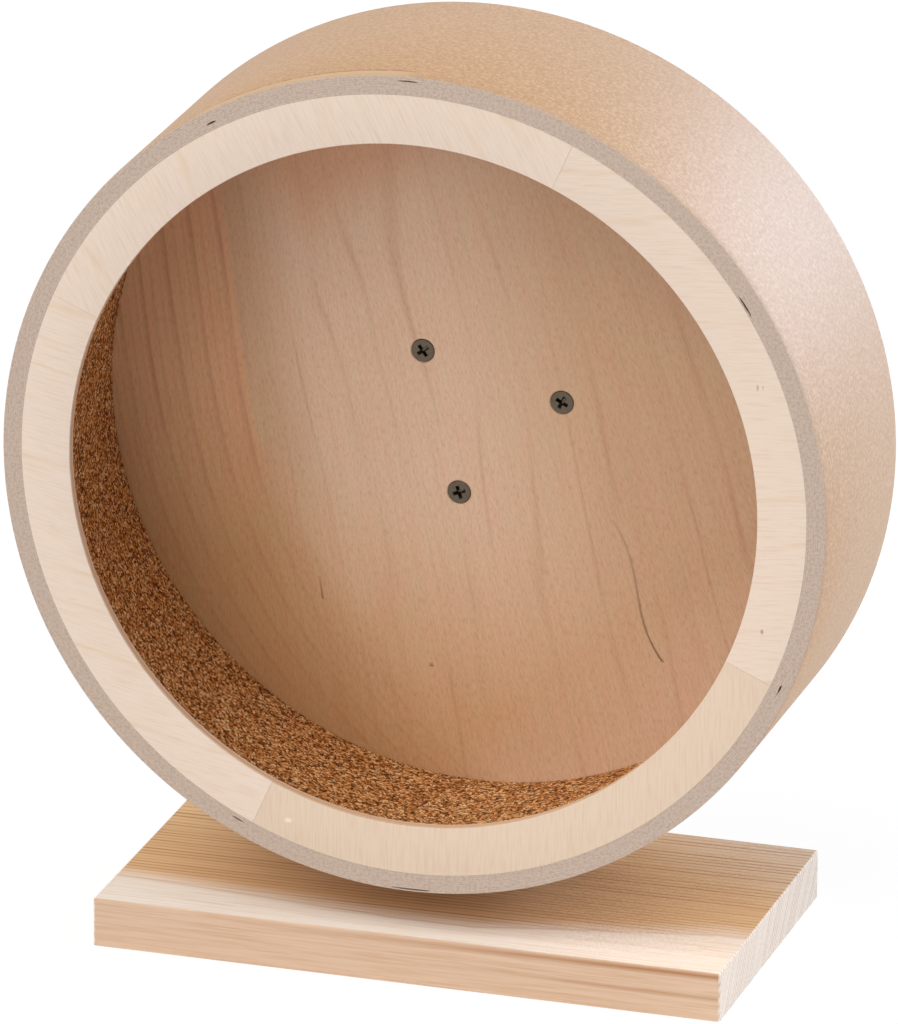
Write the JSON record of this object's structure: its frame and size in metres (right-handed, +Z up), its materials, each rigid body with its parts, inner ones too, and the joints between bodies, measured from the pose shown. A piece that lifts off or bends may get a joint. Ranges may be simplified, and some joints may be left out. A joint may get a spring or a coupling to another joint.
{
  "type": "rodent exercise wheel",
  "caption": "Free-standing exercise wheel for small rodents: a cork-lined board drum with a plywood ring and back, turning on a ball bearing in front of a pine stand.",
  "frame": {"origin": "middle of the base board's underside, on the floor", "axes": "+Z up, +X to the right as seen from the drum's open mouth, which faces -Y; the wheel turns about Y"},
  "size_m": [0.285, 0.1502, 0.3166],
  "materials": {
    "wound_board": "matte",
    "ring_plywood": "matte",
    "disc_plywood": "satin",
    "cork": "matte",
    "beech": "matte",
    "pine": "matte",
    "screw_steel": "satin",
    "zinc_steel": "satin",
    "bearing_steel": "polished",
    "nylon": "satin"
  },
  "bodies": {
    "stand": {"base_board": "pine", "upright_board": "pine", "stand_screws": "screw_steel", "stand_dowels": "beech", "axle_bolt": "zinc_steel", "head_shim": "zinc_steel", "bearing_inner_race": "bearing_steel", "axle_spacer": "zinc_steel", "front_washer": "zinc_steel", "rear_washer": "zinc_steel", "axle_nut": "zinc_steel", "nut_insert": "nylon"},
    "wheel": {"drum_tube": "wound_board", "front_ring_upper_left": "ring_plywood", "front_ring_lower_left": "ring_plywood", "front_ring_lower_right": "ring_plywood", "front_ring_upper_right": "ring_plywood", "back_disc": "disc_plywood", "cork_liner": "cork", "hub_block": "beech", "hub_screws": "screw_steel", "bearing_outer_race": "bearing_steel", "bearing_shields": "zinc_steel"},
    "ball_cage": {"bearing_balls": "bearing_steel", "bearing_cage": "nylon"}
  },
  "joints": [
    {"name": "wheel_spin", "type": "hinge", "parent": "stand", "child": "wheel", "pos_m": [0, 0.0415, 0.1741], "axis": [0, 1, 0], "continuous": true},
    {"name": "cage_spin", "type": "hinge", "parent": "stand", "child": "ball_cage", "pos_m": [0, 0.0415, 0.1741], "axis": [0, 1, 0], "continuous": true}
  ],
  "couplings": [
    {"joint": "cage_spin", "follows": "wheel_spin", "ratio": 0.6323}
  ]
}
